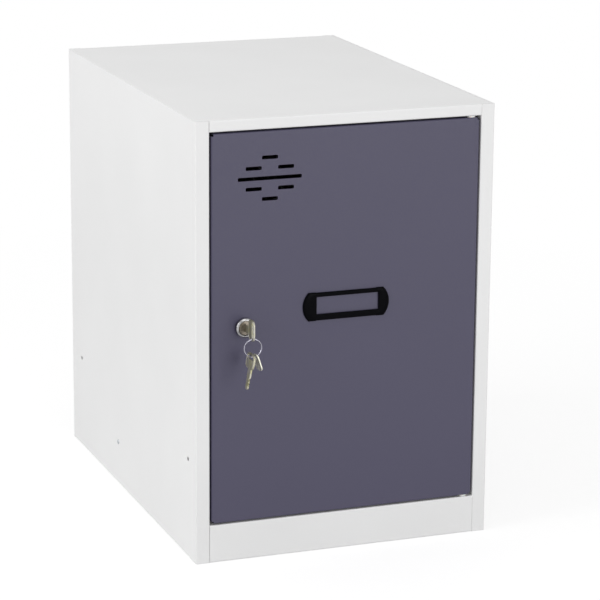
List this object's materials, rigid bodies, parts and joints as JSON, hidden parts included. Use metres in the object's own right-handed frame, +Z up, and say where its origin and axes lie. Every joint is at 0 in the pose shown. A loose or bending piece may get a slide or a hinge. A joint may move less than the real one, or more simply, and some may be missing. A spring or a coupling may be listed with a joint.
{
  "type": "cube locker",
  "caption": "Small sheet-steel locker with a flush inset door on pivot pins, vent slots, a card holder and a cam lock with hanging keys.",
  "frame": {"origin": "on the floor at the centre of the footprint, which is the centre of the four base holes", "axes": "+Z up, -Y out of the front, +X to the right of somebody facing the door"},
  "size_m": [0.3522, 0.5401, 0.5],
  "materials": {
    "body_paint": "fine powder coat, satin",
    "door_paint": "fine powder coat, satin",
    "nickel": "nickel-plated die casting",
    "zinc_steel": "zinc-plated",
    "key_nickel": "nickel-plated brass, tumbled",
    "ring_wire": "plated spring wire",
    "tag_brass": "stamped, tumbled",
    "black_plastic": "moulded, fine texture",
    "white_nylon": "moulded",
    "black_rubber": "moulded"
  },
  "bodies": {
    "carcass": {"left_side_panel": "body_paint", "right_side_panel": "body_paint", "top_panel": "body_paint", "back_panel": "body_paint", "floor_pan": "body_paint", "plinth": "body_paint", "upper_hinge_pin": "zinc_steel", "lower_hinge_pin": "zinc_steel", "door_buffers": "black_rubber", "floor_rivets": "zinc_steel"},
    "door": {"door_panel": "door_paint", "door_stiffener": "door_paint", "upper_hinge_bush": "white_nylon", "lower_hinge_bush": "white_nylon", "card_holder": "black_plastic", "lock_housing": "nickel", "lock_nut": "zinc_steel"},
    "lock": {"lock_plug": "nickel", "lock_cam": "zinc_steel", "cam_washer": "zinc_steel", "cam_screw": "zinc_steel", "key": "key_nickel"},
    "ring": {"key_ring": "ring_wire"},
    "spare": {"spare_key": "key_nickel"},
    "tag": {"key_tag": "tag_brass"}
  },
  "joints": [
    {"name": "door_hinge", "type": "hinge", "parent": "carcass", "child": "door", "pos_m": [0.1483, -0.244, 0.2655], "axis": [0, 0, 1], "range_deg": [0, 110]},
    {"name": "lock_turn", "type": "hinge", "parent": "door", "child": "lock", "pos_m": [-0.1188, -0.25, 0.269], "axis": [0, 1, 0], "range_deg": [0, 90]},
    {"name": "ring_hang", "type": "hinge", "parent": "lock", "child": "ring", "pos_m": [-0.1188, -0.2784, 0.26065], "axis": [0, 1, 0], "range_deg": [-90, 0]},
    {"name": "spare_key_swing", "type": "hinge", "parent": "ring", "child": "spare", "pos_m": [-0.12053, -0.2784, 0.2428], "axis": [0.9848, 0, -0.1736], "range_deg": [-45, 40]},
    {"name": "tag_swing", "type": "hinge", "parent": "ring", "child": "tag", "pos_m": [-0.11572, -0.2784, 0.24314], "axis": [0.9511, 0, 0.309], "range_deg": [-45, 45]}
  ],
  "couplings": [
    {"joint": "ring_hang", "follows": "lock_turn", "ratio": -1}
  ]
}
